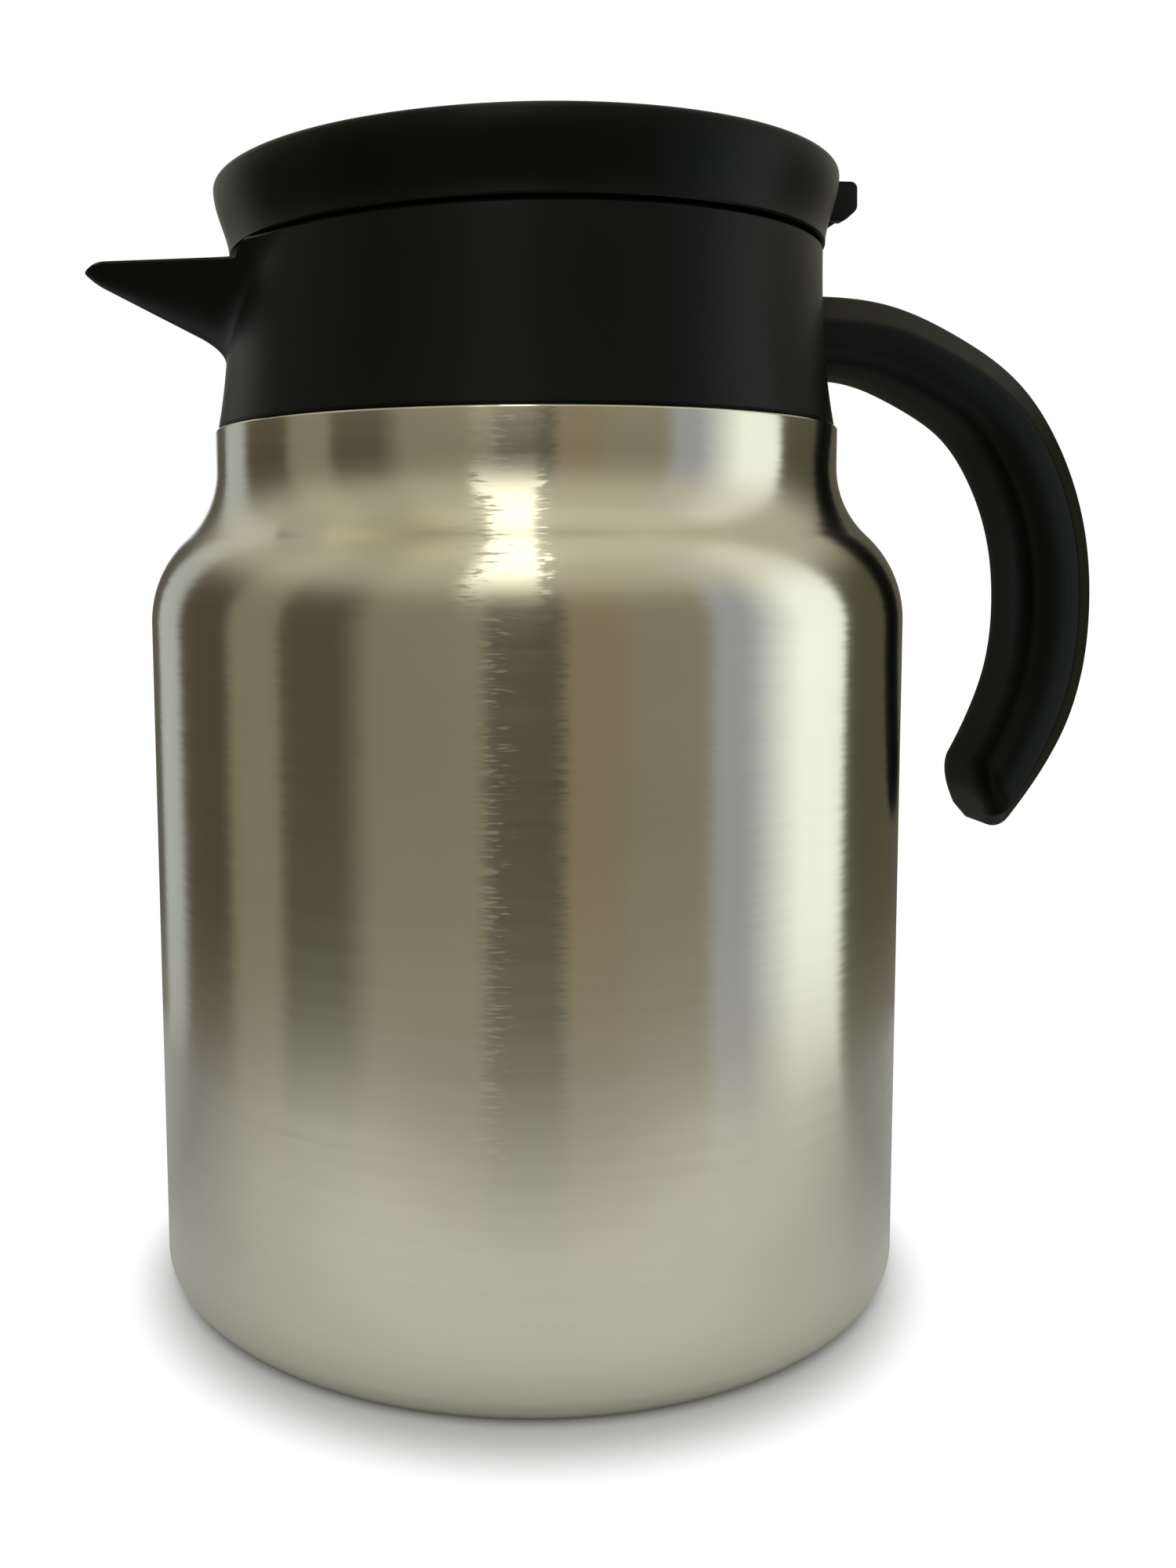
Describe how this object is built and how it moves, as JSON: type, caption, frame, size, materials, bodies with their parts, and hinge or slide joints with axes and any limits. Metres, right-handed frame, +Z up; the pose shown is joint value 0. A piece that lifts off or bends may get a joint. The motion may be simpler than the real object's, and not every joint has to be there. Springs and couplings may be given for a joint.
{
  "type": "thermal carafe",
  "caption": "Double-walled steel thermal carafe with a black collar, beak spout, open C handle and a rear-hinged flared lid with an insulated plug.",
  "frame": {"origin": "on the body's axis, on the floor under the base pad", "axes": "+Z up along the body's axis, +X towards the handle, spout towards -X"},
  "size_m": [0.18, 0.13, 0.1885],
  "materials": {
    "shell_steel": "fine turned lines, semi-bright",
    "flask_steel": "satin",
    "solder": "dull grey",
    "pad_rubber": "matt",
    "black_plastic": "satin black moulding",
    "inner_plastic": "matt black moulding",
    "silicone": "translucent white silicone",
    "foam": "closed-cell foam",
    "screw_steel": "bright stainless"
  },
  "bodies": {
    "jug": {"outer_shell": "shell_steel", "inner_flask": "flask_steel", "base_plate": "flask_steel", "evacuation_seal": "solder", "base_pad": "pad_rubber", "getter_cup": "flask_steel", "getter_pellet": "solder", "spout_collar": "black_plastic", "mouth_funnel": "inner_plastic", "neck_gasket": "silicone", "handle_shell": "black_plastic", "handle_cover": "black_plastic", "handle_screws": "screw_steel"},
    "lid": {"lid_cap": "black_plastic", "plug_cup": "inner_plastic", "plug_cover": "inner_plastic", "lid_seal": "silicone", "lid_foam": "foam", "lid_screws": "screw_steel", "hinge_pin": "screw_steel"}
  },
  "joints": [
    {"name": "lid_hinge", "type": "hinge", "parent": "jug", "child": "lid", "pos_m": [0.05403, 0, 0.18515], "axis": [0, 1, 0], "range_deg": [0, 105]}
  ]
}
